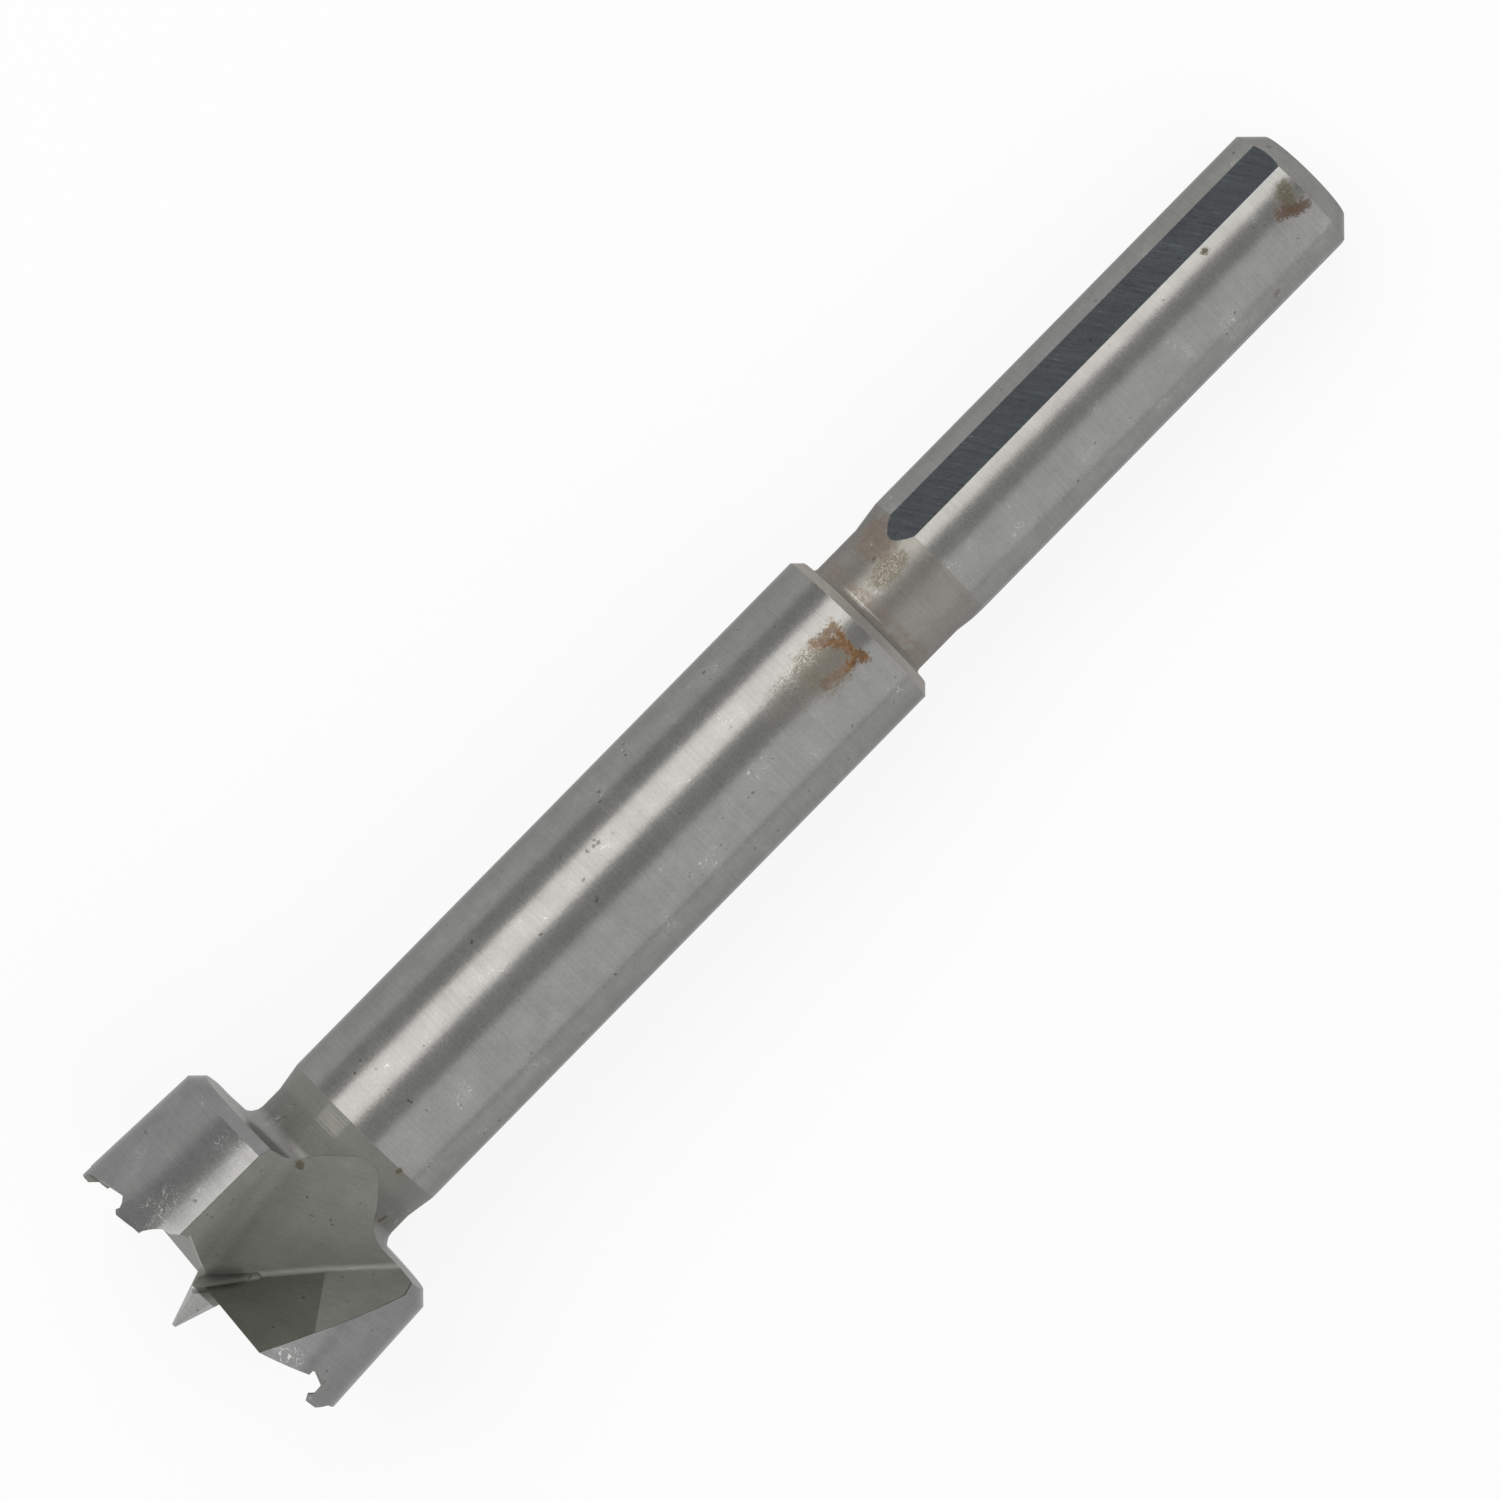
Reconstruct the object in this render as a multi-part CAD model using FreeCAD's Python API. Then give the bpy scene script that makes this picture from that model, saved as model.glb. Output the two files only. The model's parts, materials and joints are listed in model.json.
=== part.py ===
# A forstner bit with a toothed rim, for boring flat-bottomed holes, turned and ground from one steel bar.
# It lies on its side as it comes to rest, on two edges of the lower chip gash and on the shank end.
# It is built standing on its point and laid down at the end. Sizes are in millimetres and degrees.
import FreeCAD, Part

import math
import os

from FreeCAD import Placement, Rotation, Vector

# Lengths along the bit, from the tip of the centre point to the end of the shank
POINT_LENGTH = 2.68
HEAD_LENGTH = 7.85
NECK_LENGTH = 2.1
NECK_FLARE = 1.6
BODY_LENGTH = 37.42
RELIEF_LENGTH = 3.18
RELIEF_FLARE = 1.75
SHANK_LENGTH = 28.2

# Radii and edge breaks of the turned shape
POINT_FLAT_RADIUS = 0.12
POINT_HALF_ANGLE = 18.5
HEAD_RADIUS = 9.0
HEAD_TAPER = 2.55
HEAD_CHAMFER = 0.65
HEAD_REAR_SLOPE = 2.0
NECK_FILLET = 0.9
BODY_RADIUS = 5.0
BODY_CHAMFER = 0.5
SHANK_RADIUS = 4.0
SHANK_CHAMFER = 1.05

# How far the neck lies below the body and the relief below the shank,
# and the share of the shoulder's face that its fillet takes
NECK_STEP = 0.26
RELIEF_STEP = 0.25
RELIEF_FILLET_SHARE = 0.46

# Cutting lips: where each runs out, how far it passes ahead of the centre, the relief behind it, its rake,
# and how far behind the lip's line the two ground fronts meet, inside the centre point
LIP_ANGLE = 33.8
LIP_OFFSET = 1.0
LIP_RELIEF = 14.0
LIP_RAKE = 32.0
FRONT_SETBACK = 0.05

# Chip gash: the main face behind the resharpened one, the sloping floor, and the wall on the other side
GASH_FACE_ANGLE = -54.5
GASH_FACE_LEAN = 34.7
GASH_FACE_OFFSET = 1.435
FLOOR_ANGLE = 17.6
FLOOR_SLOPE = 21.8
FLOOR_OFFSET = 0.51
WALL_ANGLE = 73.7
WALL_OFFSET = -0.58
VALLEY_FILLET = 0.32
WALL_FILLET = 2.0

# Small tapering groove that thins the web beside the centre point, in the valley of each gash
GROOVE_RADIUS = 0.6
GROOVE_END_RADIUS = 0.25
GROOVE_START = Vector(-1.45, -0.83, 1.36)
GROOVE_END = Vector(1.31, -1.29, 4.94)

# Toothed rim around each wing: its wall, and where the teeth stand behind the outer end of the lip
TOOTH_LEAD = 0.3
RIM_EDGE = 0.25
RIM_FOOT = 1.5
RIM_BEVEL_DEPTH = 2.0
TOOTH_ANGLES = (31.3, 69.8, 109.5)

# Outlines of the cuts through the rim: lengths behind a tooth's steep face, heights above the tooth tips
FIRST_GULLET = ((-0.9, 1.42), (-0.64, 1.5), (0, 1.27), (0, 0.53), (-0.26, 0.33), (-0.1, 0.04))
SECOND_GULLET = ((-4.7, -0.04), (-3.37, 0.46), (-1.87, 0.49), (-0.1, 0.6), (0, 0.07))
THIRD_GULLET = (
    (-5.89, 0.07),
    (-3.76, 0.53),
    (-1.52, 0.92),
    (-0.67, 1.01),
    (-0.33, 0.75),
    (-0.17, 0.48),
    (-0.3, 0.27),
    (0, 0.09),
)
HEEL = (
    (0, 0.09),
    (0.52, 0.17),
    (1.16, 0.29),
    (1.54, 0.32),
    (1.6, 0.54),
    (1.92, 1.0),
    (2.25, 1.33),
    (2.69, 1.43),
    (3.12, 1.8),
    (3.6, 1.9),
)
WORN_TOOTH = ((-1.87, 0.49), (1.6, 0.49))

# How far the first gullet and the heel are turned from square through the rim
FIRST_GULLET_SKEW = 58.0
HEEL_SKEW = -43.0

# Three flats along the shank, to stop it from turning in the chuck
FLAT_COUNT = 3
FLAT_DEPTH = 0.135
FLAT_ANGLE = -33.9

# Room for the blocks that are cut away, and the rounds taken to find how the bit comes to rest
CLEAR = 1.0
FAR = 60.0
SETTLING_ROUNDS = 5

AXIS = Vector(0, 0, 1)
CENTRE = Vector(0, 0, 0)


def around(angle):
    """The direction square to the axis at an angle around it, counted towards the first wing."""
    a = math.radians(angle)
    return Vector(math.sin(a), -math.cos(a), 0)


def leaning(angle, lean):
    """The direction that a ground face looks in: an angle around the axis and a lean to the shank."""
    a = math.radians(lean)
    return around(angle) * math.cos(a) + AXIS * math.sin(a)


def open_side(angle, lean, offset):
    """Everything on the open side of a ground face, which is offset from the axis at the lips' height."""
    foot = around(angle) * offset + AXIS * POINT_LENGTH
    block = Part.makeBox(2 * FAR, 2 * FAR, FAR, Vector(-FAR, -FAR, 0))
    block.Placement = Placement(foot, Rotation(AXIS, leaning(angle, lean)))
    return block


def tooth_front():
    """Height of the tooth tips above the tip of the centre point."""
    return POINT_LENGTH - TOOTH_LEAD


def head_radius_at(height):
    """Radius of the head's tapered side."""
    return HEAD_RADIUS - (height - tooth_front()) * math.tan(math.radians(HEAD_TAPER))


def turned_profile():
    """Half section of the turned bar without the centre point: the radius and height of each corner."""
    neck_radius = BODY_RADIUS - NECK_STEP
    relief_radius = SHANK_RADIUS - RELIEF_STEP
    rear = POINT_LENGTH + HEAD_LENGTH
    rear_radius = head_radius_at(rear - HEAD_CHAMFER)
    foot = rear + (rear_radius - HEAD_CHAMFER - neck_radius) * math.tan(math.radians(HEAD_REAR_SLOPE))
    neck_end = foot + NECK_LENGTH
    body_start = neck_end + NECK_FLARE
    shoulder = body_start + BODY_LENGTH
    relief_end = shoulder + RELIEF_LENGTH
    shank_start = relief_end + RELIEF_FLARE
    end = shank_start + SHANK_LENGTH
    return {
        "front centre": (0, tooth_front()),
        "rim": (HEAD_RADIUS, tooth_front()),
        "head chamfer": (rear_radius, rear - HEAD_CHAMFER),
        "head rear": (rear_radius - HEAD_CHAMFER, rear),
        "neck foot": (neck_radius, foot),
        "neck end": (neck_radius, neck_end),
        "body start": (BODY_RADIUS, body_start),
        "body chamfer": (BODY_RADIUS, shoulder - BODY_CHAMFER),
        "shoulder edge": (BODY_RADIUS - BODY_CHAMFER, shoulder),
        "relief foot": (relief_radius, shoulder),
        "relief end": (relief_radius, relief_end),
        "shank start": (SHANK_RADIUS, shank_start),
        "shank chamfer": (SHANK_RADIUS, end - SHANK_CHAMFER),
        "shank edge": (SHANK_RADIUS - SHANK_CHAMFER, end),
        "end centre": (0, end),
    }


def turned_bar():
    """The bar as it leaves the lathe, with a fillet at the foot of the neck and of the relief."""
    profile = turned_profile()
    corners = [Vector(radius, 0, height) for radius, height in profile.values()]
    bar = Part.Face(Part.makePolygon(corners + corners[:1])).revolve(CENTRE, AXIS, 360)
    shoulder_face = profile["shoulder edge"][0] - profile["relief foot"][0]
    fillets = {"neck foot": NECK_FILLET, "relief foot": shoulder_face * RELIEF_FILLET_SHARE}
    for corner, fillet in fillets.items():
        radius, height = profile[corner]
        rings = [
            edge
            for edge in bar.Edges
            if isinstance(edge.Curve, Part.Circle)
            and math.isclose(edge.Curve.Radius, radius)
            and math.isclose(edge.Curve.Center.z, height)
        ]
        bar = bar.makeFillet(fillet, rings)
    return bar


def centre_point():
    """The cone that guides the bit, with a small blunt flat at its tip."""
    depth = POINT_LENGTH + 2 * LIP_OFFSET
    base = POINT_FLAT_RADIUS + depth * math.tan(math.radians(POINT_HALF_ANGLE))
    return Part.makeCone(POINT_FLAT_RADIUS, base, depth)


def wing_side():
    """The half of the bit behind one lip, with the strip ahead of it but not the other lip's strip."""
    along = around(LIP_ANGLE)
    back = around(LIP_ANGLE + 90)
    inner = LIP_OFFSET - FRONT_SETBACK
    corners = [
        along * FAR - back * (LIP_OFFSET + FAR / 2),
        -back * inner,
        back * inner,
        -along * FAR + back * (LIP_OFFSET + FAR / 2),
        -along * FAR + back * 2 * FAR,
        along * FAR + back * 2 * FAR,
    ]
    plan = Part.Face(Part.makePolygon(corners + corners[:1]))
    plan.translate(-AXIS * FAR)
    return plan.extrude(AXIS * 2 * FAR)


def rim_cut(outline, angle, skew=0.0):
    """A cut right through the rim with the given outline, at an angle around the axis.

    Skew turns the cut around its own steep face, away from square through the rim. A skewed cut would
    reach the ground front of the wing with its far end, so the core inside the rim is kept out of it."""
    inward = -around(angle - skew)
    back = around(angle - skew + 90)
    start = around(angle) * HEAD_RADIUS - inward * HEAD_RADIUS / 2 + AXIS * tooth_front()
    open_outline = [(outline[0][0], -CLEAR), *outline, (outline[-1][0], -CLEAR)]
    corners = [start + back * length + AXIS * height for length, height in open_outline]
    depth = HEAD_RADIUS / 2 + RIM_FOOT / math.cos(math.radians(skew))
    cut = Part.Face(Part.makePolygon(corners + corners[:1])).extrude(inward * depth)
    return cut.cut(Part.makeCylinder(HEAD_RADIUS - RIM_FOOT - CLEAR, FAR, -AXIS * CLEAR))


def tooth_angle(number):
    """Where the steep face of a tooth stands around the axis."""
    return lip_corner_angle() + TOOTH_ANGLES[number]


def front_pocket():
    """What is ground away in front of one wing: all of it up to the first tooth, then inside the rim."""
    bevel_foot = AXIS * tooth_front()
    bevel = Part.makeCone(HEAD_RADIUS - RIM_EDGE, HEAD_RADIUS - RIM_FOOT, RIM_BEVEL_DEPTH, bevel_foot)
    inside = Part.makeCylinder(HEAD_RADIUS - RIM_FOOT, HEAD_RADIUS, bevel_foot)
    outline = [(-2 * HEAD_RADIUS, HEAD_RADIUS), (0, HEAD_RADIUS), *FIRST_GULLET[2:]]
    before_teeth = rim_cut(outline, tooth_angle(0), FIRST_GULLET_SKEW)
    lip_foot = AXIS * POINT_LENGTH - around(LIP_ANGLE + 90) * LIP_OFFSET
    floor = Part.makeBox(2 * FAR, 2 * FAR, FAR, Vector(-FAR, -FAR, 0))
    floor.Placement = Placement(lip_foot, Rotation(AXIS, leaning(LIP_ANGLE + 90, LIP_RELIEF - 90)))
    return bevel.fuse(inside).fuse(before_teeth).common(floor).common(wing_side())


def rim_cuts():
    """The cuts that leave three teeth and a heel on one wing's rim."""
    return [
        rim_cut(FIRST_GULLET, tooth_angle(0), FIRST_GULLET_SKEW),
        rim_cut(SECOND_GULLET, tooth_angle(1)),
        rim_cut(THIRD_GULLET, tooth_angle(2)),
        rim_cut(HEEL, tooth_angle(2), HEEL_SKEW),
    ]


def rounded_valley(block, face_a, face_b, radius):
    """The block with the edge between two faces rounded. The faces are given by where they look."""
    along = face_a.cross(face_b).normalize()
    edges = [
        edge
        for edge in block.Edges
        if math.isclose(abs(edge.tangentAt(edge.FirstParameter).dot(along)), 1)
        and all(edge_lies_on(edge, block, direction) for direction in (face_a, face_b))
    ]
    return block.makeFillet(radius, edges)


def edge_lies_on(edge, block, direction):
    """Whether the edge bounds that face of the block which looks against a direction."""
    return any(
        math.isclose(face.normalAt(0, 0).dot(direction), -1)
        and any(edge.isSame(side) for side in face.Edges)
        for face in block.Faces
    )


def gash():
    """One chip gash: a trough between floor and wall, closed by the main face and the lip's own face."""
    floor = (FLOOR_ANGLE, -FLOOR_SLOPE)
    wall = (WALL_ANGLE, 0)
    trough = open_side(*floor, FLOOR_OFFSET).common(open_side(*wall, WALL_OFFSET))
    trough = rounded_valley(trough, leaning(*floor), leaning(*wall), WALL_FILLET)
    lip_face = (LIP_ANGLE - 90, LIP_RAKE)
    main_face = (GASH_FACE_ANGLE, GASH_FACE_LEAN)
    cuts = []
    for face, offset in ((lip_face, LIP_OFFSET), (main_face, GASH_FACE_OFFSET)):
        wedge = trough.common(open_side(*face, offset))
        cuts.append(rounded_valley(wedge, leaning(*floor), leaning(*face), VALLEY_FILLET))
    return cuts


def web_groove():
    """The groove beside the centre point, which narrows to the width of the valley."""
    run = GROOVE_END - GROOVE_START
    taper = Part.makeCone(GROOVE_RADIUS, GROOVE_END_RADIUS, run.Length, GROOVE_START, run)
    return taper.fuse(Part.makeSphere(GROOVE_END_RADIUS, GROOVE_END))


def shank_flats():
    """One block outside the plane of each flat. The flats run out on the flare behind the relief."""
    _, relief_end = turned_profile()["relief end"]
    blocks = []
    for number in range(FLAT_COUNT):
        corner = Vector(-FAR / 2, SHANK_RADIUS - FLAT_DEPTH, relief_end)
        block = Part.makeBox(FAR, SHANK_RADIUS, FAR, corner)
        block.rotate(CENTRE, AXIS, FLAT_ANGLE + 180 + number * 360 / FLAT_COUNT)
        blocks.append(block)
    return blocks


def lip_corner_angle():
    """Where the outer end of a lip stands around the axis."""
    return LIP_ANGLE - math.degrees(math.asin(LIP_OFFSET / HEAD_RADIUS))


def half_turned(shapes):
    """Copies of the shapes, turned half round the axis."""
    copies = [shape.copy() for shape in shapes]
    for copy in copies:
        copy.rotate(CENTRE, AXIS, 180)
    return copies


def standing_bit():
    """The finished bit, standing on its point. One wing has lost the tip of its middle tooth."""
    body = turned_bar()
    pocket = [front_pocket()]
    for cut in pocket + half_turned(pocket):
        body = body.cut(cut)
    body = body.fuse(centre_point())
    ground = gash() + [web_groove()] + rim_cuts()
    worn_tooth = rim_cut(WORN_TOOTH, tooth_angle(1))
    for cut in ground + half_turned(ground) + [worn_tooth] + shank_flats():
        body = body.cut(cut)
    return body.removeSplitter()


def resting_down():
    """The direction that points down when the bit lies on its lower gash and its shank end.

    It touches at the lip's outer corner, the rear end of the gash wall and the rim of the shank end."""
    profile = turned_profile()
    wall_radius, wall_height = profile["head chamfer"]
    shank_radius, shank_height = profile["shank chamfer"]
    wall_edge_angle = WALL_ANGLE - math.degrees(math.acos(WALL_OFFSET / wall_radius)) + 180
    lip_corner = around(lip_corner_angle() + 180) * HEAD_RADIUS + AXIS * POINT_LENGTH
    wall_corner = around(wall_edge_angle) * wall_radius + AXIS * wall_height
    down = around(180)
    for _ in range(SETTLING_ROUNDS):
        outward = Vector(down.x, down.y, 0).normalize()
        shank_edge = outward * shank_radius + AXIS * shank_height
        down = (lip_corner - shank_edge).cross(wall_corner - shank_edge).normalize()
        if down.dot(outward) < 0:
            down = -down
    return down


def laid_down(shape):
    """The shape lying on the table with the shank towards +X, centred over the origin."""
    up = -resting_down()
    side = up.cross(AXIS).normalize()
    lying = shape.copy()
    lying.Placement = Placement(CENTRE, Rotation(side.cross(up), side, up, "ZXY").inverted())
    box = lying.optimalBoundingBox(False)
    lying.translate(Vector(-box.Center.x, -box.Center.y, -box.ZMin))
    return lying


os.makedirs("parts", exist_ok=True)
solid = laid_down(standing_bit())
print("solids", len(solid.Solids), "valid", solid.isValid(), "volume", round(solid.Volume, 2))
solid.exportStep("parts/forstner_bit.step")
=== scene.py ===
# %% [markdown]
# # A worn forstner bit in ground steel
#
# The bit bores flat-bottomed holes in wood. It is one piece of tool steel, so the imported model already
# has its whole shape: the point, the lips, the toothed rim, the body and the shank. Blender's share is
# how the steel looks. We load the model, work out where things are along the bit, build one layered
# steel material, and set the bit on a pale table under a camera and lamps.

import json
import math

import bpy
from mathutils import Matrix, Vector

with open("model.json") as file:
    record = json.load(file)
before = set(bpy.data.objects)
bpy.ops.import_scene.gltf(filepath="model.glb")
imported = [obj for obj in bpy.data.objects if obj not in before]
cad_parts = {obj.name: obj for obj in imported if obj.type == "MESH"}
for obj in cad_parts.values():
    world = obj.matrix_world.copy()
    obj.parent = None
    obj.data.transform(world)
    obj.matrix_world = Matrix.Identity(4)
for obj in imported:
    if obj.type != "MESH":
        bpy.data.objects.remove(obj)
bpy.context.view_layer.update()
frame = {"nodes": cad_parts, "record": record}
bit = frame["nodes"]["forstner_bit"]
print("loaded", bit.name, "with", len(bit.data.polygons), "faces")

# %% [markdown]
# ## Where things are along the bit
#
# The bit lies on the table, tipped and rolled a little, so its own axis isn't a row axis. Its marks are
# easier to place in the bit's own measures: millimetres along the axis from the tip, and degrees around
# it. The record says where the shank is and which way it points. From that we get the tip and three
# directions: along the axis, towards the side that faces the camera, and across to the right wing.

# %% The bit's own axes
MM = 0.001
SHANK_REACH = 83.844      # from the tip to the point that the record names, millimetres
FRONT_ROLL = -4.233       # how far the photographed side is rolled away from straight up, degrees

shank = next(mount for mount in frame["record"]["mounts"] if mount["name"] == "shank")
ALONG = Vector(shank["axis"]).normalized()
TIP = Vector(shank["pos_m"]) - ALONG * SHANK_REACH * MM
UPWARD = (Vector((0, 0, 1)) - ALONG * ALONG.z).normalized()
FRONT = Matrix.Rotation(math.radians(FRONT_ROLL), 3, ALONG) @ UPWARD
ACROSS = ALONG.cross(FRONT)
print("tip", TIP, "front", FRONT, "across", ACROSS)


def place(along, across, front):
    """A point in the scene from its place in the bit's own millimetres."""
    return TIP + (ALONG * along + ACROSS * across + FRONT * front) * MM


def sine_cosine(degrees):
    """How much of an angle around the bit points across it, and how much to the front."""
    turn = math.radians(degrees)
    return math.sin(turn), math.cos(turn)


# %% [markdown]
# ## The camera
#
# The photograph was taken from about forty centimetres straight above the bit, with a long lens, and the
# bit runs from lower left to upper right. We set a camera at that place and turn it about its own view
# axis until the bit's axis climbs by that angle. A matrix built from three directions says this more
# plainly than three Euler angles.

# %% Camera at the photograph's place
CAMERA_ALONG = 31.27      # millimetres from the tip
CAMERA_ACROSS = 0.39
CAMERA_HEIGHT = 421.0
LOOK_TILT = 1.5656        # degrees that the view leans towards the shank
AXIS_CLIMB = 45.48        # degrees that the bit's axis rises in the picture
HALF_FRAME = 750.0        # half the photograph's side, pixels
FOCAL_PIXELS = 8000.0
NEAREST_SEEN = 0.01       # metres

tilt = math.radians(LOOK_TILT)
climb = math.radians(AXIS_CLIMB)
look = -FRONT * math.cos(tilt) + ALONG * math.sin(tilt)
shankward = FRONT * math.sin(tilt) + ALONG * math.cos(tilt)
picture_right = shankward * math.cos(climb) + ACROSS * math.sin(climb)
picture_up = shankward * math.sin(climb) - ACROSS * math.cos(climb)

camera_data = bpy.data.cameras.new("camera")
camera_data.sensor_fit = "HORIZONTAL"
camera_data.angle = 2 * math.atan(HALF_FRAME / FOCAL_PIXELS)
camera_data.clip_start = NEAREST_SEEN
camera = bpy.data.objects.new("camera", camera_data)
bpy.context.scene.collection.objects.link(camera)
eye = place(CAMERA_ALONG, CAMERA_ACROSS, CAMERA_HEIGHT)
turn = Matrix((picture_right, picture_up, -look)).transposed().to_4x4()
camera.matrix_world = Matrix.Translation(eye) @ turn
bpy.context.scene.camera = camera
print("camera at", eye, "looking", look)

# %% [markdown]
# ## A small language for shaders
#
# A material is a graph of nodes, and a graph is hard to read as code. So we wrap a socket in a small
# class: arithmetic on it adds a Math node and gives back the result, wrapped again. Then a mask reads
# like the sum that it is. Every other node comes from one method, which takes the node's type, its
# settings and what goes into its sockets.


# %% Shader sums
class Value:
    """A number that varies over the surface: the output of a node."""

    tree = None

    def __init__(self, socket):
        self.socket = socket

    @classmethod
    def node(cls, kind, settings=None, output=0, **inputs):
        """Add a node, set its settings first and then its sockets, and wrap one of its outputs.

        A socket is named with _ for each space, or by _ and its number where its name isn't unique."""
        made = cls.tree.nodes.new(kind)
        for name, setting in (settings or {}).items():
            setattr(made, name, setting)
        for key, item in inputs.items():
            slot = made.inputs[int(key[1:])] if key[0] == "_" else made.inputs[key.replace("_", " ")]
            if isinstance(item, Value):
                cls.tree.links.new(item.socket, slot)
            else:
                slot.default_value = item
        return cls(made.outputs[output])

    def maths(self, operation, other, swap=False):
        first, second = (other, self) if swap else (self, other)
        return Value.node("ShaderNodeMath", {"operation": operation}, _0=first, _1=second)

    def __add__(self, other):
        return self.maths("ADD", other)

    def __sub__(self, other):
        return self.maths("SUBTRACT", other)

    def __rsub__(self, other):
        return self.maths("SUBTRACT", other, swap=True)

    def __mul__(self, other):
        return self.maths("MULTIPLY", other)

    def __truediv__(self, other):
        return self.maths("DIVIDE", other)

    def __pow__(self, other):
        return self.maths("POWER", other)

    __radd__ = __add__
    __rmul__ = __mul__

    def at_least(self, low):
        """This number where it is over low, and low where it isn't."""
        return self.maths("MAXIMUM", low)

    def at_most(self, high):
        """This number where it is under high, and high where it isn't."""
        return self.maths("MINIMUM", high)

    def above(self, edge, blur):
        """1 where this is over the edge, 0 under it, with a soft step of that width between."""
        return Value.node(
            "ShaderNodeMapRange",
            {"interpolation_type": "SMOOTHSTEP"},
            Value=self,
            From_Min=edge - blur / 2,
            From_Max=edge + blur / 2,
        )

    def below(self, edge, blur):
        return 1 - self.above(edge, blur)

    def between(self, low, high, blur):
        return self.above(low, blur) * self.below(high, blur)


# %% [markdown]
# ## Colours, directions and noise
#
# A Math node works on one number, so it would turn a colour grey. Colours go through a Mix node and
# directions through a Vector Math node instead. Noise is what breaks up every mask later on. Each of
# these gets a short name here, so that the material reads as plain steps.


# %% Helpers for masks, colours and noise
def largest(first, *others):
    """The strongest of several masks at each spot."""
    for other in others:
        first = first.at_least(other)
    return first


def mix_colour(mask, under, over):
    """One colour over another, as strongly as the mask says."""
    return Value.node("ShaderNodeMix", {"data_type": "RGBA"}, 2, _0=mask, _6=under, _7=over)


def vector_maths(operation, first, second):
    output = 1 if operation in ("DOT_PRODUCT", "DISTANCE") else 0
    return Value.node("ShaderNodeVectorMath", {"operation": operation}, output, _0=first, _1=second)


def vector(x, y, z):
    return Value.node("ShaderNodeCombineXYZ", X=x, Y=y, Z=z)


def noise(place_in, scale=1.0, detail=3.0, roughness=0.7, distortion=0.0):
    """A cloudy pattern from 0 to 1. Detail adds finer clouds, and roughness makes those stronger."""
    return Value.node(
        "ShaderNodeTexNoise",
        Vector=place_in,
        Scale=scale,
        Detail=detail,
        Roughness=roughness,
        Distortion=distortion,
    )


# %% [markdown]
# ## The steel's own map
#
# Everything on the bit happened on a lathe or a grinding wheel, so every finish follows the axis. We
# start the material with the measures that all its masks use: millimetres along the axis, across it and
# to the front, the distance from it, and degrees around it from the photographed side. Object
# coordinates hold still on the bit, whatever the camera does.

# %% Measures inside the material
steel = bpy.data.materials.new("worn ground steel")
steel.use_nodes = True
steel.node_tree.nodes.clear()
Value.tree = steel.node_tree

OBJECT_COORDINATES = 3
spot = Value.node("ShaderNodeTexCoord", output=OBJECT_COORDINATES)
from_tip = vector_maths("SUBTRACT", spot, tuple(TIP))


def measure(direction):
    """How far a spot is from the tip in one direction, in millimetres."""
    return vector_maths("DOT_PRODUCT", from_tip, tuple(direction)) / MM


along = measure(ALONG)
across = measure(ACROSS)
front = measure(FRONT)
radius = (across * across + front * front) ** 0.5
angle = across.maths("ARCTAN2", front) * math.degrees(1.0)
steel_place = vector(along, across, front)
print("measures ready:", len(steel.node_tree.nodes), "nodes")

# %% [markdown]
# ## The turned outline
#
# To tell a turned surface from a ground one, we need to know how far out the lathe left the steel at each
# place along the bit. The head tapers a little, its rear edge is chamfered, its rear face drops to the
# neck through a fillet, and the neck flares up to the body. A curve node could hold this outline. But
# each part of it is a straight line or a circle, so sums on the along measure are exact and easy to check.

# %% Outline of the head and the neck, millimetres
TOOTH_FRONT = 2.38
HEAD_REAR = 10.53
REAR_START = 10.51
NECK_FOOT = 10.61
NECK_FLARE = 12.73
HEAD_RADIUS = 9.0
HEAD_REAR_RADIUS = 7.99
NECK_RADIUS = 4.74
NECK_FILLET = 0.9
HEAD_TAPER = 0.0445       # radius lost for each millimetre along the head
REAR_SLOPE = 0.035        # millimetres along for each one that the rear face drops
FLARE_SLOPE = 0.1625      # radius gained for each millimetre along the flare

side = HEAD_RADIUS - (along - TOOTH_FRONT) * HEAD_TAPER
chamfer = HEAD_REAR_RADIUS + HEAD_REAR - along
rear = HEAD_REAR_RADIUS - (along - REAR_START) / REAR_SLOPE
before_fillet = (NECK_FOOT + NECK_FILLET - along).at_least(0.0)
fillet_drop = (NECK_FILLET**2 - before_fillet * before_fillet).at_least(0.0) ** 0.5
flare = ((along - NECK_FLARE) * FLARE_SLOPE).at_least(0.0)
neck = NECK_RADIUS + NECK_FILLET - fillet_drop + flare
outline = largest(side.at_most(chamfer).at_most(rear), neck)
print("outline of the head:", HEAD_RADIUS, "mm at the teeth,", HEAD_REAR_RADIUS, "mm at the rear")

# %% [markdown]
# ## Which surface is which
#
# A spot that lies on the outline was turned, and a spot in the head that lies inside it was ground later,
# with the gashes. Where it is along the bit tells the rest: the wings, the neck, the shoulder's chamfer
# and the relief behind it. Painting these by hand would need a flat map of the surface. Masks that are
# worked out from measures need none, and they hold on every side of the bit.

# %% Masks of the turned parts, millimetres
NECK_START = 11.3
NECK_END = 14.34
SHOULDER = 51.76
BODY_CHAMFER = 0.5
CORNER_REACH = 0.3        # how far past the shoulder its corner looks dull
SHOULDER_EDGE = 0.03      # how far ahead of the shoulder the relief's finish begins
SHANK_START = 56.65
REAR_END = 11.4
POINT_END = 2.2
POINT_RADIUS = 1.6
SLACK = 0.02              # how far inside the outline a turned spot may lie
HEAD_SLACK = 0.03         # how much further inside it may lie in the head

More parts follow.
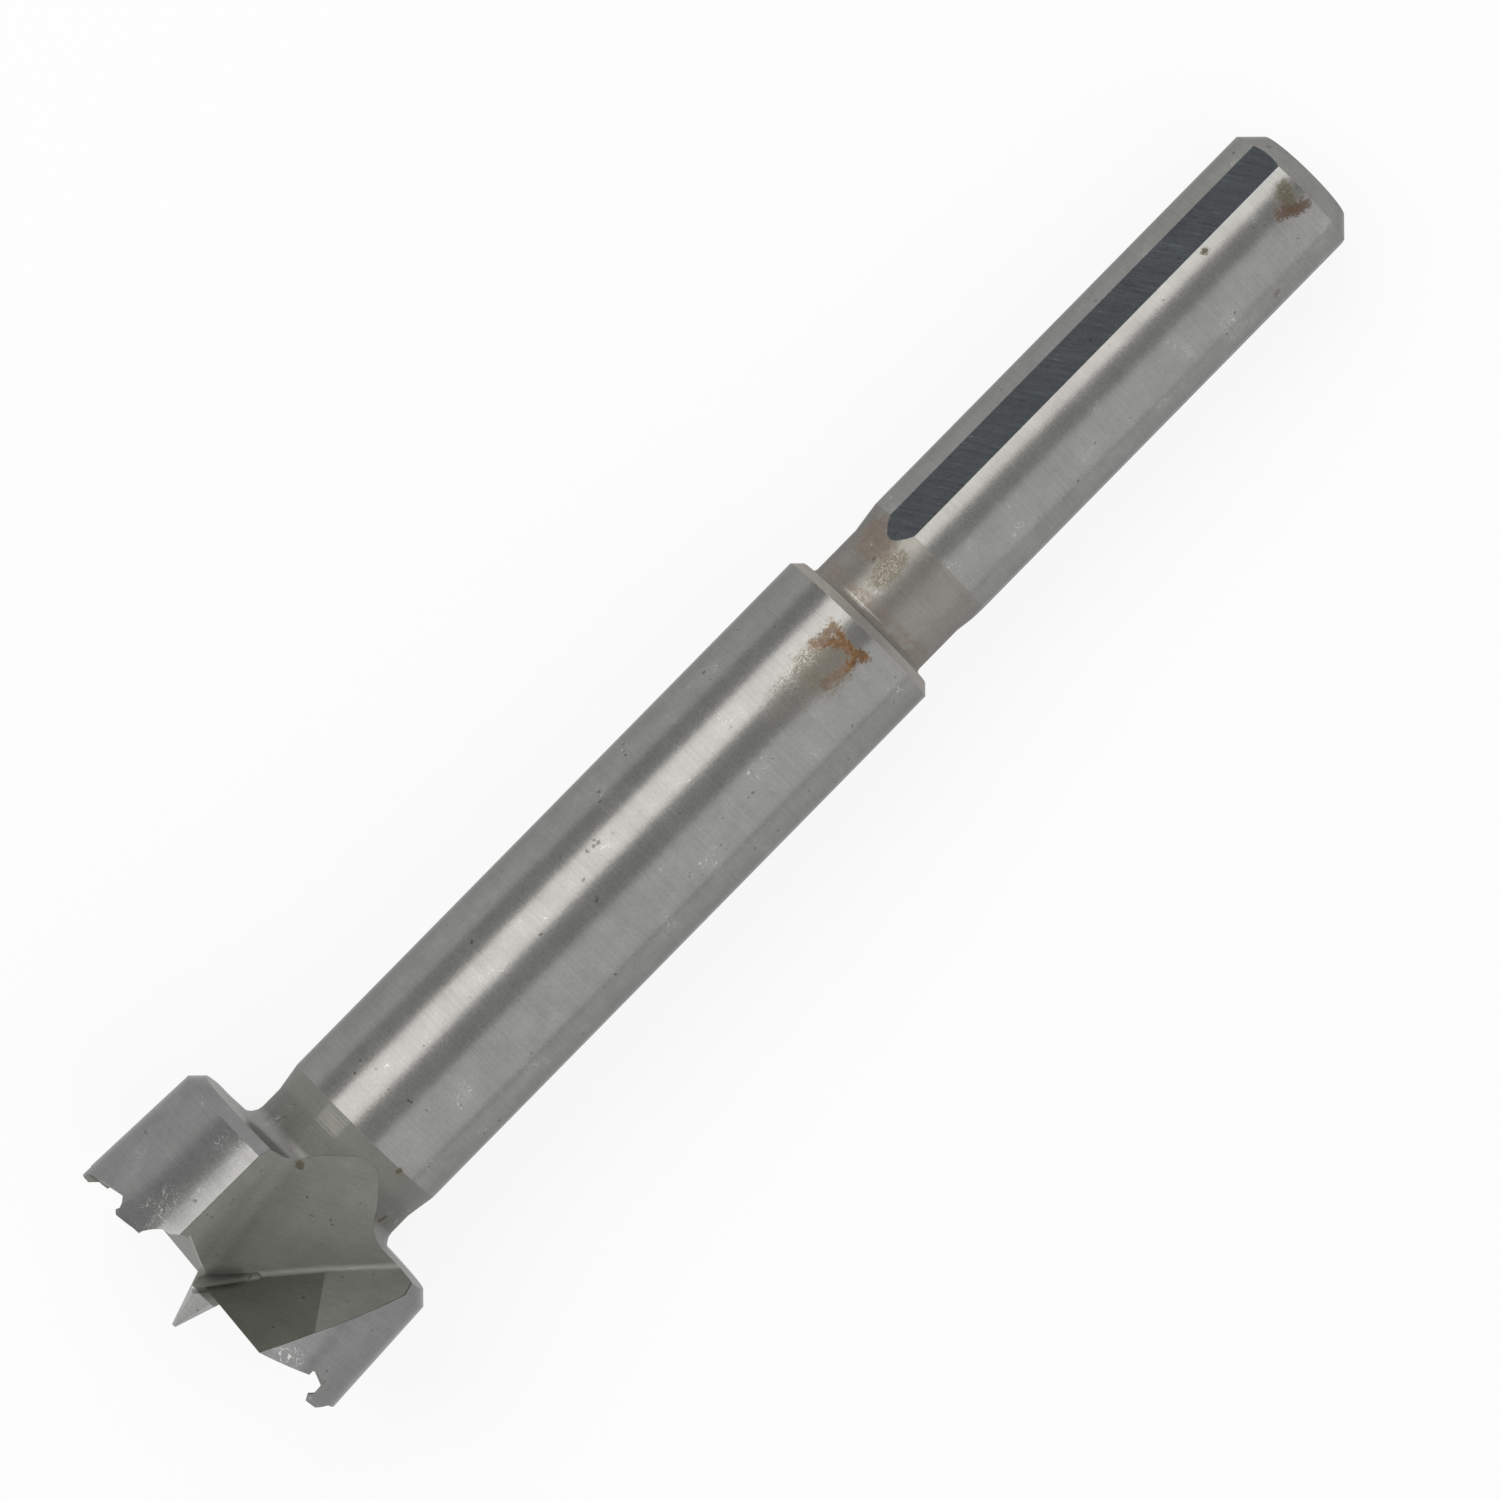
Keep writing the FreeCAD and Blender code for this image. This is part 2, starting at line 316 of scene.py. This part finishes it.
slack = along.below(HEAD_REAR, blur=0.1) * HEAD_SLACK + SLACK
on_outline = radius.maths("GREATER_THAN", outline - slack)
wing_side = on_outline * along.below(REAR_START, blur=0.02)
rear_side = on_outline * along.between(HEAD_REAR, REAR_END, blur=0.3)
neck_side = on_outline * along.above(NECK_START, blur=0.8) * along.below(NECK_END, blur=0.04)
point = along.below(POINT_END, blur=0.05) * radius.below(POINT_RADIUS, blur=0.05)
gash = (1 - on_outline) * along.below(NECK_END, blur=0.02) * (1 - point)
shoulder_corner = along.between(SHOULDER - SHOULDER_EDGE, SHOULDER + CORNER_REACH, blur=0.06)
shoulder_chamfer = along.between(SHOULDER - BODY_CHAMFER, SHOULDER, blur=0.04)
print("masks of the turned parts:", len(steel.node_tree.nodes), "nodes")

# %% [markdown]
# ## The two gashes
#
# The bit looks the same after half a turn, so both gashes share their masks: we fold the across and front
# measures over to the photographed side first. Inside a gash, the face at the lip was ground again and
# looks darker, and the wall on the other side is painted lighter, as painted light for the light that it
# catches. Each is a plane, and a spot belongs to it when its distance from that plane is nearly nothing.

# %% Masks of the ground faces
POINT_LENGTH = 2.68
LIP_FACE = (-56.2, 32.0, 1.0)
GASH_WALL = (73.7, 0.0, -0.58)

facing = front.maths("SIGN", 0.0)
twin_place = vector(along, across * facing, front * facing)


def on_face(face, reach, blur):
    """1 within reach of a ground face of either gash.

    The face is a plane: the degrees around the bit that it looks in, its lean towards the shank, and
    its distance from the axis at the lips' height."""
    degrees, lean, distance = face
    sideways, forward = sine_cosine(degrees)
    rise, level = sine_cosine(lean)
    looks = (rise, level * sideways, level * forward)
    height = vector_maths("DOT_PRODUCT", twin_place, looks) - distance * level - POINT_LENGTH * rise
    return height.maths("ABSOLUTE", 0.0).below(reach, blur)


lip_face = on_face(LIP_FACE, reach=0.006, blur=0.004) * gash
gash_wall = on_face(GASH_WALL, reach=0.3, blur=0.6) * gash
print("masks of the gashes:", len(steel.node_tree.nodes), "nodes")

# %% [markdown]
# ## The shank's flats
#
# Each flat is a plane along the shank. A spot is on it if it stands out as far as that plane in the
# flat's own direction, but lies nearer to the axis than the round shank. The flats are cut into the end
# of the relief, so the relief's mask gives way to theirs.

# %% Masks of the flats, and what is dull
FLAT_ANGLES = (-33.9, 86.1, -153.9)
FLAT_REACH = 3.857        # just inside the flats' distance from the axis
INSIDE_SHANK = 3.996      # just under the shank's radius
FLAT_START = 55.6
BEYOND_END = 90.0
REAR_DULL = 0.6
CORNER_DULL = 0.8
CHAMFER_DULL = 0.6


def flat_at(degrees):
    """1 where a spot stands out as far as the flat that looks that way."""
    sideways, forward = sine_cosine(degrees)
    return (across * sideways + front * forward).above(FLAT_REACH, blur=0.004)


flats = largest(*(flat_at(degrees) for degrees in FLAT_ANGLES))
flats = flats * along.between(FLAT_START, BEYOND_END, blur=0.02) * radius.below(INSIDE_SHANK, blur=0.004)
relief = along.between(SHOULDER - SHOULDER_EDGE, SHANK_START, blur=0.05) * (1 - flats)
turned = (1 - gash) * (1 - flats)
dull = largest(
    gash * (1 - lip_face),
    neck_side,
    rear_side * REAR_DULL,
    shoulder_corner * CORNER_DULL,
    shoulder_chamfer * CHAMFER_DULL,
)
print("all face masks:", len(steel.node_tree.nodes), "nodes")

# %% [markdown]
# ## Grinding and turning marks
#
# A lathe or a grinding wheel leaves hair-fine rings around a turned side. A noise that changes quickly
# along the axis and hardly at all around it gives such rings. The flats and gashes were ground across, so
# their scratches run straight and slanting, made by stretching noise along one straight direction. An
# image of brushed steel would repeat and show its seam. Noise in the bit's own measures does neither.

# %% Rings, scratches and grain
RING_PLACE = (9.0, 0.012, 0.3)        # changes for each millimetre along, degree around, millimetre outward
FINE_RING_PLACE = (30.0, 0.03, 0.0)
SCRATCH_PLACE = (0.35, 9.0, 0.5)      # changes along the scratch, across it, and to the front
SCRATCH_SLANT = (0.5, 0.87)


def squeezed(first, second, third, changes):
    """A place for noise, with how often it changes in each measure."""
    return vector(first * changes[0], second * changes[1], third * changes[2])


slant = along * SCRATCH_SLANT[0] + across * SCRATCH_SLANT[1]
square_to_slant = across * SCRATCH_SLANT[0] - along * SCRATCH_SLANT[1]
rings = noise(squeezed(along, angle, radius, RING_PLACE))
fine_rings = noise(squeezed(along, angle, radius, FINE_RING_PLACE), detail=1.0, roughness=0.5)
scratches = noise(squeezed(slant, square_to_slant, front, SCRATCH_PLACE))
grain = noise(steel_place, scale=6.0, roughness=0.65)
blotches = noise(steel_place, scale=0.55, roughness=0.6)
print("marks:", len(steel.node_tree.nodes), "nodes")

# %% [markdown]
# ## Colour of the clean steel
#
# Bare steel is a metal, so its base colour is what it reflects. The neck was left as turned and has
# dulled, the gashes are ground coarse and are slightly green-grey, and the flats are dark and bluish. The
# shoulder's chamfer and the gash wall are painted lighter, as painted light for the light that they catch.
# We lay these greys over each other with the face masks, later ones on top.

# %% Steel colours
BODY_GREY = (0.245, 0.243, 0.235, 1)
WING_GREY = (0.228, 0.228, 0.226, 1)
# Painted light: the shoulder's chamfer is painted lighter and warmer than the body, for light that it catches.
CHAMFER_PAINTED_LIGHT_GREY = (0.307, 0.287, 0.262, 1)
NECK_GREY = (0.15, 0.15, 0.137, 1)
RELIEF_GREY = (0.225, 0.217, 0.2, 1)
FLAT_GREY = (0.095, 0.106, 0.114, 1)
GASH_GREY = (0.215, 0.219, 0.196, 1)
# Painted light: the gash wall is painted lighter than the gash floor, for light that it catches.
WALL_PAINTED_LIGHT_GREY = (0.315, 0.318, 0.285, 1)
LIP_GREY = (0.235, 0.24, 0.21, 1)
POINT_GREY = (0.42, 0.42, 0.415, 1)

layers = (
    (wing_side, WING_GREY),
    (shoulder_chamfer, CHAMFER_PAINTED_LIGHT_GREY),
    (neck_side, NECK_GREY),
    (relief, RELIEF_GREY),
    (flats, FLAT_GREY),
    (gash, GASH_GREY),
    (gash_wall, WALL_PAINTED_LIGHT_GREY),
    (lip_face, LIP_GREY),
    (point, POINT_GREY),
)
colour = BODY_GREY
for mask, grey in layers:
    colour = mix_colour(mask, colour, grey)
print("steel colours:", len(layers) + 1)

# %% [markdown]
# ## Uneven shade
#
# No ground surface is one even grey. We multiply the colour by a shade that swings a little around 1:
# broad blotches, the rings on the turned sides, fine grain, and scratches on the flats and gashes. The
# neck is darker at the head and brighter towards the body. There a patch of turning marks is painted
# brighter as a painted highlight, in the band around the bit where the bright lamp's highlight falls.

# %% Shade from the marks
SCRATCH_EDGE = 0.68       # only the strongest scratches shine
SCRATCH_SHINE = 0.8
GASH_SCRATCHES = 0.3      # how strong the scratches are in the gashes, next to those on the flats
NECK_MIDDLE = 13.0
NECK_DARKER = 0.12        # how much darker than its grey the neck is at the head
NECK_CHANGE = 0.32        # how much brighter it is at the body than at the head
# The turning marks are real, but their patch is painted brighter only where the bright lamp's highlight falls,
# as a painted highlight.
TURNING_ALONG = (13.1, 14.3)
TURNING_HIGHLIGHT_AROUND = (-28.0, -10.0)
TURNING_PAINTED_HIGHLIGHT = 0.1       # how much brighter the patch of turning marks is
TURNING_RING_HIGHLIGHT = 0.5          # how much brighter again its single rings are


def swing(marks, strength):
    """Noise as a swing around nothing, from minus half to half that strength."""
    return (marks - 0.5) * strength


uneven = swing(blotches, 0.4) + swing(rings, 0.3) * turned + swing(grain, 0.35)
uneven = uneven + swing(scratches, 1.0) * (flats + gash * GASH_SCRATCHES)
uneven = uneven + scratches.above(SCRATCH_EDGE, blur=0.06) * flats * SCRATCH_SHINE
# The neck is painted darker at the head and brighter towards the body.
neck_tone_head_to_body = neck_side * (along.above(NECK_MIDDLE, blur=1.2) * NECK_CHANGE - NECK_DARKER)
# Painted highlight: the turning marks are brightened only in the band where the bright lamp's highlight falls.
turning_highlight_patch = along.between(*TURNING_ALONG, blur=0.1) * angle.between(*TURNING_HIGHLIGHT_AROUND, blur=3.0)
turning_marks_and_highlight = turning_highlight_patch * (fine_rings.above(edge=0.5, blur=0.1) * TURNING_RING_HIGHLIGHT + TURNING_PAINTED_HIGHLIGHT)
shade = 1 + uneven + neck_tone_head_to_body + turning_marks_and_highlight
colour = vector_maths("MULTIPLY", colour, vector(shade, shade, shade))
print("shaded steel:", len(steel.node_tree.nodes), "nodes")

# %% [markdown]
# ## Strokes and patches
#
# Rust follows scratches and fingerprints, so most of it is made of short strokes: a spot belongs to one
# if it is near the line from its start to its end. Softer stains are ovals, measured along and around
# the bit. Noise moves the edge of both in and out, which makes them ragged. A painted image could do the
# same, but strokes stay sharp at any size and are easy to move.

# %% Ragged strokes and ovals
OVAL_EDGE = 0.8           # where an oval ends, as a share of its size
OVAL_RAGGEDNESS = 1.1

rust_break = noise(steel_place, scale=3.0, detail=5.0, roughness=0.8)
fine_break = noise(steel_place, scale=9.0)
ragged_edge = swing(rust_break, 1.0) + swing(fine_break, 0.9)


def stroke(start, end, half_width, ragged, spot_place=steel_place):
    """How far a spot lies inside a stroke from start to end: 1 well inside, 0 outside."""
    run = end - start
    past_start = vector_maths("SUBTRACT", spot_place, tuple(start))
    share = vector_maths("DOT_PRODUCT", past_start, tuple(run / run.length_squared))
    share = share.at_least(0.0).at_most(1.0)
    nearest = vector_maths("MULTIPLY", vector(share, share, share), tuple(run))
    nearest = vector_maths("ADD", nearest, tuple(start))
    distance = vector_maths("DISTANCE", spot_place, nearest)
    return (distance + ragged).below(half_width, half_width)


def smear(ends, side_radius, half_width, raggedness=1.0, strength=1.0):
    """A stroke on a turned side. Its ends are millimetres along and degrees around, twice over."""
    places = []
    for at, degrees in (ends[:2], ends[2:]):
        sideways, forward = sine_cosine(degrees)
        places.append(Vector((at, side_radius * sideways, side_radius * forward)))
    return stroke(*places, half_width, ragged_edge * raggedness) * strength


def patch(at, degrees, length, width):
    """A ragged oval: 1 at its middle, 0 outside. Its sizes are half its length and width."""
    run = (along - at) / length
    around = (angle - degrees) / width
    distance = (run * run + around * around) ** 0.5
    return (distance + swing(rust_break, OVAL_RAGGEDNESS)).below(OVAL_EDGE, blur=0.5)


def speckled(oval, edge, blur, strength):
    """An oval that fine noise breaks up into specks. A higher edge leaves fewer of them."""
    return patch(*oval) * fine_break.above(edge, blur) * strength


print("strokes ready:", len(steel.node_tree.nodes), "nodes")

# %% [markdown]
# ## Rust on the body and the relief
#
# The photograph shows a brown arc just before the shoulder, with a faint haze ahead of it, a brown tint
# on the relief where a flat runs out, and a trace in the corner behind the shoulder. The arc is a chain
# of strokes and the rest are ovals. The haze gives way where there is full rust.

# %% Rust and its haze
RUST = (0.24, 0.128, 0.048, 1)
RUST_DARK = (0.11, 0.06, 0.03, 1)
HAZE = (0.165, 0.125, 0.062, 1)
BODY_RADIUS = 5.0
ARC_STROKES = (
    (48.85, -13.0, 49.3, -9.0),
    (49.2, -10.5, 50.3, -12.5),
    (49.5, -9.0, 50.05, 1.5),
    (50.3, -11.0, 50.0, 6.0),
    (50.0, 6.0, 50.3, 15.0),
    (50.1, 9.0, 49.3, 12.0),
)
ARC_FOOT = (49.3, 12.0, 47.9, 9.0)
ARC_THIN_SIDE = -8.0      # degrees around, beyond which the arc is fainter
ARC_THINNER = 0.35
RELIEF_TINT = (55.2, -45.0, 1.6, 26.0)
TINT_STRENGTH = 0.32
CORNER_RUST = (51.9, 52.9)
CORNER_STRENGTH = 0.3

rust_arc = largest(*(smear(ends, BODY_RADIUS, half_width=0.25) for ends in ARC_STROKES))
rust_arc = rust_arc * (1 - angle.below(ARC_THIN_SIDE, blur=4.0) * ARC_THINNER)
rust_foot = smear(ARC_FOOT, BODY_RADIUS, half_width=0.3, raggedness=1.3, strength=0.6)
rust_relief = patch(*RELIEF_TINT) * (1 - flats) * TINT_STRENGTH
rust_corner = along.between(*CORNER_RUST, blur=0.3) * rust_break.above(edge=0.5, blur=0.2) * CORNER_STRENGTH
rust = largest(rust_arc, rust_foot, rust_relief, rust_corner)

haze_near = speckled((48.4, 1.0, 2.0, 20.0), edge=0.48, blur=0.2, strength=0.6)
haze_far = speckled((46.8, -1.0, 2.8, 14.0), edge=0.5, blur=0.16, strength=0.4)
haze_relief = speckled((54.5, -17.0, 1.5, 13.0), edge=0.46, blur=0.2, strength=0.55) * relief
haze = largest(haze_near, haze_far, haze_relief) * (1 - rust)

colour = mix_colour(haze, colour, HAZE)
rust_colour = mix_colour(rust_break.above(edge=0.5, blur=0.3), RUST_DARK, RUST)
colour = mix_colour(rust, colour, rust_colour)
print("rust:", len(ARC_STROKES) + 1, "strokes")

# %% [markdown]
# ## Spots
#
# A brown and olive spot sits at the shank's end, and small olive ones lie on the shank, on the neck and
# beside the gash. The single ones are short strokes, so one table can hold them all.

# %% Spots on the shank and the neck
OLIVE = (0.085, 0.07, 0.034, 1)
END_BROWN = (0.09, 0.048, 0.03, 1)
SHANK_RADIUS = 4.0
FLARE_RADIUS = 4.9
END_STROKES = ((82.0, 7.0, 82.6, 11.5), (82.6, 11.5, 83.45, 15.5))
END_STRENGTH = 0.8
OLIVE_END = (83.1, -3.0, 82.8, 7.0)
GASH_SPOT = (10.85, -14.8, 0.27, 3.4)
GASH_SPOT_STRENGTH = 0.75
SMALL_SPOTS = (           # ends, radius of the side, half width, raggedness, strength
    ((77.9, -13.3, 78.0, -13.0), SHANK_RADIUS, 0.16, 0.4, 0.8),
    ((79.15, 56.0, 79.3, 55.0), SHANK_RADIUS, 0.2, 0.4, 0.45),
    ((14.25, 33.5, 14.27, 33.0), FLARE_RADIUS, 0.17, 0.5, 0.8),
    ((11.6, 54.0, 12.0, 56.0), NECK_RADIUS, 0.1, 0.2, 0.8),
)

olive_end = smear(OLIVE_END, SHANK_RADIUS, half_width=0.5, strength=0.85) * fine_break.above(edge=0.4, blur=0.2)
gash_spot = patch(*GASH_SPOT) * GASH_SPOT_STRENGTH
olive_spots = largest(olive_end, gash_spot, *(smear(*row) for row in SMALL_SPOTS))
rust_end = largest(*(smear(ends, SHANK_RADIUS, half_width=0.28) for ends in END_STROKES))

colour = mix_colour(olive_spots, colour, OLIVE)
colour = mix_colour(rust_end * END_STRENGTH, colour, END_BROWN)
stained = largest(rust, olive_spots, rust_end, haze)
print("spots:", len(SMALL_SPOTS) + 3)

# %% [markdown]
# ## Darkened groove, pits, bright scuffs and a painted highlight
#
# The small groove beside the centre point is painted darker, and a few pits dot the steel.
# The wings are scuffed bright beside the lips, fine bright lint clings to the turned sides, and a painted
# highlight makes a bright ring behind the shoulder. Thin curly lines come from noise, by keeping only a narrow
# band of it.

# %% Darkened groove, pits, scuffs, lint and a painted highlight
DARK_SPOT = (0.045, 0.043, 0.035, 1)
# Bright colour for the scuffs and lint, and for the painted highlight of the ring behind the shoulder.
BRIGHT_WEAR_AND_HIGHLIGHT = (0.62, 0.62, 0.60, 1)
GROOVE_START = Vector((1.36, -1.45, 0.83))
GROOVE_MIDDLE = Vector((3.9, 0.55, 1.16))
SCUFFS = ((4.3, -33.0, 1.6, 7.0), (9.0, -35.0, 0.8, 3.0), (3.6, 37.0, 0.8, 8.0))
# Painted highlight: where the bright ring behind the shoulder lies, along and around the bit.
HIGHLIGHT_RING_ALONG = (52.18, 52.25)
HIGHLIGHT_RING_AROUND = (-32.0, 8.0)
GROOVE_DARKENING_STRENGTH = 0.6
PIT_STRENGTH = 0.6
SCUFF_STRENGTH = 0.8
LINT_STRENGTH = 0.45
HIGHLIGHT_RING_STRENGTH = 0.4


def curls(scale, distortion, low, high, blur):
    """Thin curly lines: the narrow band of a smooth noise between two levels."""
    return noise(steel_place, scale, detail=1.0, roughness=0.5, distortion=distortion).between(low, high, blur)


# The small groove beside the centre point is painted darker.
groove_darkening = stroke(GROOVE_START, GROOVE_MIDDLE, 0.75, ragged_edge * 0.3, twin_place) * gash
specks = noise(steel_place, scale=2.3, detail=1.0, roughness=0.5)
pits = specks.above(edge=0.745, blur=0.05) * blotches.above(edge=0.5, blur=0.1)
scuffed = largest(*(patch(*oval) for oval in SCUFFS)) * wing_side
scuff_lines = curls(scale=1.5, distortion=1.2, low=0.485, high=0.515, blur=0.02)
scuffs = scuffed * scuff_lines * fine_break.above(edge=0.44, blur=0.1) * SCUFF_STRENGTH
lint_lines = curls(scale=2.6, distortion=0.6, low=0.492, high=0.508, blur=0.006)
lint = lint_lines * blotches.above(edge=0.63, blur=0.04) * turned * LINT_STRENGTH
# Painted highlight: a bright ring behind the shoulder, brightest around the bright lamp's highlight.
shoulder_ring_highlight = along.between(*HIGHLIGHT_RING_ALONG, blur=0.06) * angle.between(*HIGHLIGHT_RING_AROUND, blur=14.0)

colour = mix_colour(groove_darkening * GROOVE_DARKENING_STRENGTH, colour, DARK_SPOT)
colour = mix_colour(pits * PIT_STRENGTH, colour, DARK_SPOT)
colour = mix_colour(largest(scuffs, lint), colour, BRIGHT_WEAR_AND_HIGHLIGHT)
colour = mix_colour(shoulder_ring_highlight * HIGHLIGHT_RING_STRENGTH, colour, BRIGHT_WEAR_AND_HIGHLIGHT)
print("wear:", len(steel.node_tree.nodes), "nodes")

# %% [markdown]
# ## Gloss and relief of the marks
#
# Roughness says how wide the reflection spreads: ground sides are fairly sharp, gashes and rust are dull.
# Rust and dirt are no metal either, so they lower the metallic share. A Bump node turns the rings and
# scratches into tiny slopes, so highlights stretch along the bit as they do on real ground steel. Real
# grooves that fine would need millions of faces.

# %% Roughness, bump and the finished shader
POLISH = 0.23             # roughness of the clean body
RING_HEIGHT = 0.5
SCRATCH_HEIGHT = 0.5
GRAIN_HEIGHT = 0.3
BUMP_STRENGTH = 0.25
BUMP_DEPTH = 0.00004      # metres
EDGE_SHINE = (0.6, 0.6, 0.6, 1)

round_shank = along.above(SHANK_START, blur=0.1) * (1 - flats)
rougher = ((dull, 0.3), (relief, 0.15), (lip_face, 0.15), (flats, 0.06), (stained, 0.35), (round_shank, 0.035))
less_metal = ((stained, 0.9), (dull, 0.72), (point, 0.5), (lip_face, 0.25))

roughness = swing(grain, 0.12) + POLISH
for mask, share in rougher:
    roughness = roughness + mask * share
metal = 1.0
for mask, share in less_metal:
    metal = (1 - mask * share) * metal
height = rings * turned * RING_HEIGHT + scratches * largest(gash, flats) * SCRATCH_HEIGHT + grain * GRAIN_HEIGHT
bump = Value.node("ShaderNodeBump", Strength=BUMP_STRENGTH, Distance=BUMP_DEPTH, Height=height)

shader = Value.node(
    "ShaderNodeBsdfPrincipled",
    Base_Color=colour,
    Roughness=roughness,
    Metallic=metal,
    Specular_Tint=EDGE_SHINE,
    Normal=bump,
)
steel_output = steel.node_tree.nodes.new("ShaderNodeOutputMaterial")
steel.node_tree.links.new(shader.socket, steel_output.inputs["Surface"])
for slot in bit.material_slots:
    slot.material = steel
print("steel:", len(steel.node_tree.nodes), "nodes")

# %% [markdown]
# ## The table
#
# The table is one large pale sheet. The camera sees it close to white, and it keeps the bit's shadow:
# part of it glows where the camera or a reflection looks at it, and the rest is plain diffuse. Brighter
# lamps would whiten it too, but they would also wash out the steel.

# %% Floor
FLOOR_SIZE = 3.0
PAPER_GREY = (0.9, 0.9, 0.9, 1)
WHITE = (1, 1, 1, 1)
GLOW_SHARE = 0.86

floor_mesh = bpy.data.meshes.new("floor")
corners = [(x * FLOOR_SIZE, y * FLOOR_SIZE, 0) for x, y in ((-1, -1), (1, -1), (1, 1), (-1, 1))]
floor_mesh.from_pydata(corners, [], [(0, 1, 2, 3)])
floor = bpy.data.objects.new("floor", floor_mesh)
bpy.context.scene.collection.objects.link(floor)

paper = bpy.data.materials.new("pale paper")
paper.use_nodes = True
paper.node_tree.nodes.clear()
Value.tree = paper.node_tree
rays = paper.node_tree.nodes.new("ShaderNodeLightPath")
ray_names = ("Is Camera Ray", "Is Glossy Ray", "Is Transmission Ray")
seen = largest(*(Value(rays.outputs[name]) for name in ray_names))
plain = Value.node("ShaderNodeBsdfDiffuse", Color=PAPER_GREY)
glow = Value.node("ShaderNodeEmission", Color=WHITE, Strength=1.0)
covered = Value.node("ShaderNodeMixShader", _0=seen * GLOW_SHARE, _1=plain, _2=glow)
paper_output = paper.node_tree.nodes.new("ShaderNodeOutputMaterial")
paper.node_tree.links.new(covered.socket, paper_output.inputs["Surface"])
floor_mesh.materials.append(paper)
print("floor", FLOOR_SIZE * 2, "m wide")

# %% [markdown]
# ## Light
#
# Steel shows what stands around it. The photograph has one bright, slightly warm soft lamp on the upper
# left of the bit, a broad dimmer one on its right, and a plain grey room. So we hang two large soft area
# lamps over those sides, and the room is a plain grey world. The edges of the lamps give the steel its
# soft bright bands.

# %% Lamps and room
LAMP_ALONG = 40.0         # millimetres from the tip to the lamps' middle
LAMP_LENGTH = 0.9         # metres
ROOM_STRENGTH = 0.57


def soft_lamp(name, degrees, distance, width, power, tint):
    """A large area lamp that faces the bit, placed by its angle around the bit's axis."""
    lamp_data = bpy.data.lights.new(name, "AREA")
    lamp_data.shape = "RECTANGLE"
    lamp_data.size = width
    lamp_data.size_y = LAMP_LENGTH
    lamp_data.energy = power
    lamp_data.color = tint
    lamp = bpy.data.objects.new(name, lamp_data)
    lamp.visible_camera = False
    bpy.context.scene.collection.objects.link(lamp)
    sideways, forward = sine_cosine(degrees)
    outward = ACROSS * sideways + FRONT * forward
    turn = Matrix((ALONG.cross(outward), ALONG, outward)).transposed().to_4x4()
    lamp.matrix_world = Matrix.Translation(place(LAMP_ALONG, 0, 0) + outward * distance) @ turn


soft_lamp("bright lamp", degrees=-34.5, distance=0.7, width=0.48, power=2.65, tint=(1.0, 0.985, 0.94))
soft_lamp("broad lamp", degrees=55.0, distance=0.8, width=1.12, power=2.0, tint=(1.0, 1.0, 1.0))

world = bpy.data.worlds.new("room")
bpy.context.scene.world = world
world.use_nodes = True
room = world.node_tree.nodes["Background"]
room.inputs["Color"].default_value = WHITE
room.inputs["Strength"].default_value = ROOM_STRENGTH
bpy.context.scene.view_settings.view_transform = "Standard"
print("lamps", [item.name for item in bpy.data.lights])
